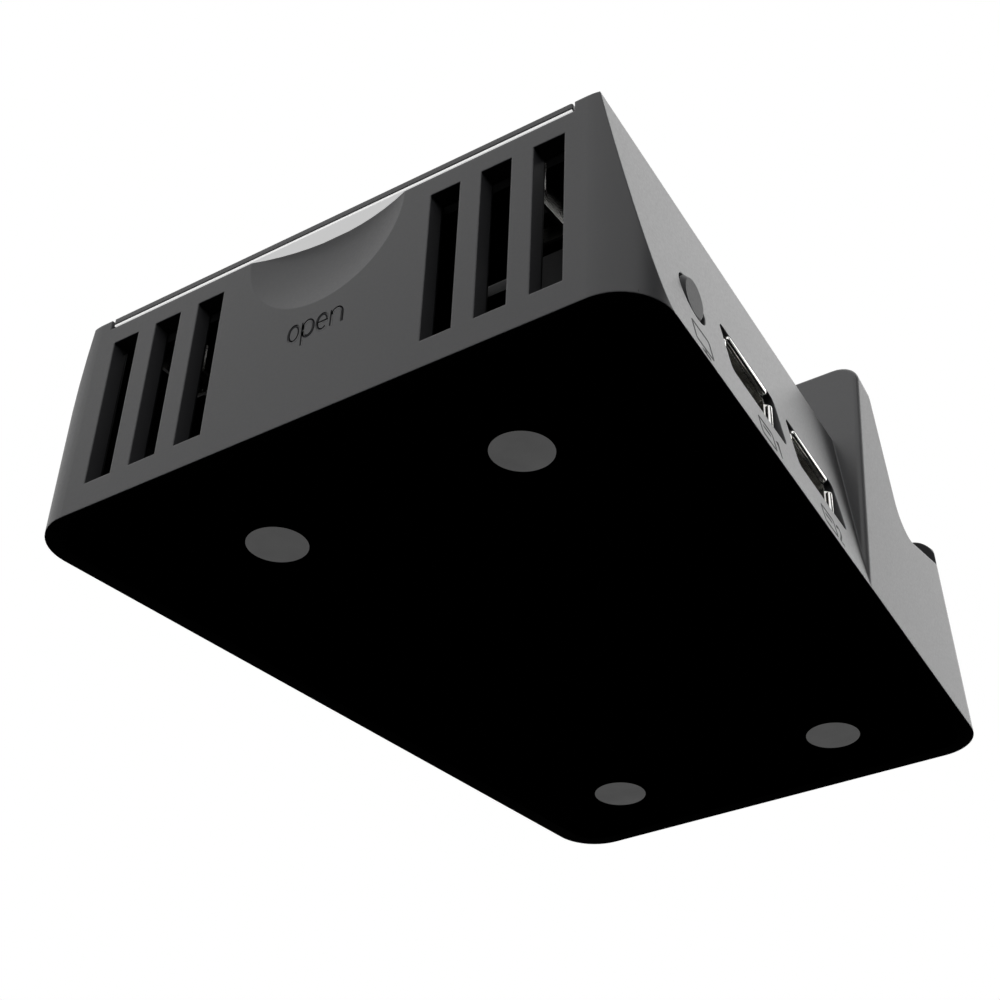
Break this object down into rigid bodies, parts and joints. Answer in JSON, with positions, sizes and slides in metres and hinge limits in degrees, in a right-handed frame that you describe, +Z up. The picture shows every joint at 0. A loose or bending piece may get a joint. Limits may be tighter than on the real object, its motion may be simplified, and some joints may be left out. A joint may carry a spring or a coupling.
{
  "type": "handheld console dock",
  "caption": "Small desk dock with a leaning cradle for a handheld console, a hinged lid over a cable bay, side ports and a push button.",
  "frame": {"origin": "centre of the base outline, on the plane of the feet", "axes": "+Z up; the console stands in the slot at the -Y end; the lid's lifting edge and the vents are at +Y; the side ports and the button are on -X; the cable outlet is on +X"},
  "size_m": [0.0828, 0.1072, 0.0445],
  "materials": {
    "housing": "fine matt grain",
    "cover": "matt",
    "liner": "matt",
    "trim": "pale, satin",
    "button": "matt",
    "rubber": "matt",
    "pad": "soft, matt",
    "steel": "plated",
    "contact_plastic": "satin",
    "board": "satin",
    "chip": "satin",
    "film": "satin",
    "plug_metal": "plated"
  },
  "bodies": {
    "base": {"main_shell": "housing", "bottom_cover": "cover", "hinge_pin_1": "steel", "hinge_pin_2": "steel", "catch_spring_1": "steel", "catch_spring_2": "steel", "mode_switch": "chip", "main_board": "board", "bay_tray": "cover", "side_port_1": "steel", "side_port_2": "steel", "port_tongue_1": "contact_plastic", "port_tongue_2": "contact_plastic", "video_port": "steel", "video_tongue": "contact_plastic", "power_port": "steel", "power_tongue": "contact_plastic", "plug_shell": "plug_metal", "plug_sleeve": "pad", "plug_carrier": "contact_plastic", "plug_ribbon": "film", "video_chip": "chip", "hub_chip": "chip", "power_coil": "chip", "backrest_pad": "pad", "floor_pad_1": "pad", "floor_pad_2": "pad", "foot_1": "rubber", "cover_screw_1": "steel", "foot_2": "rubber", "cover_screw_2": "steel", "foot_3": "rubber", "cover_screw_3": "steel", "foot_4": "rubber", "cover_screw_4": "steel"},
    "lid": {"lid_skin": "housing", "lid_liner": "liner", "lid_trim": "trim"},
    "button": {"mode_button": "button", "switch_plunger": "contact_plastic"}
  },
  "joints": [
    {"name": "lid_hinge", "type": "hinge", "parent": "base", "child": "lid", "pos_m": [0, -0.0066, 0.0271], "axis": [1, 0, 0], "range_deg": [0, 95]},
    {"name": "button_press", "type": "slide", "parent": "base", "child": "button", "axis": [0.9963, 0.0865, 0], "range_m": [0, 0.0006], "stiffness_N_per_m": 1500, "springref_m": -0.0002}
  ]
}
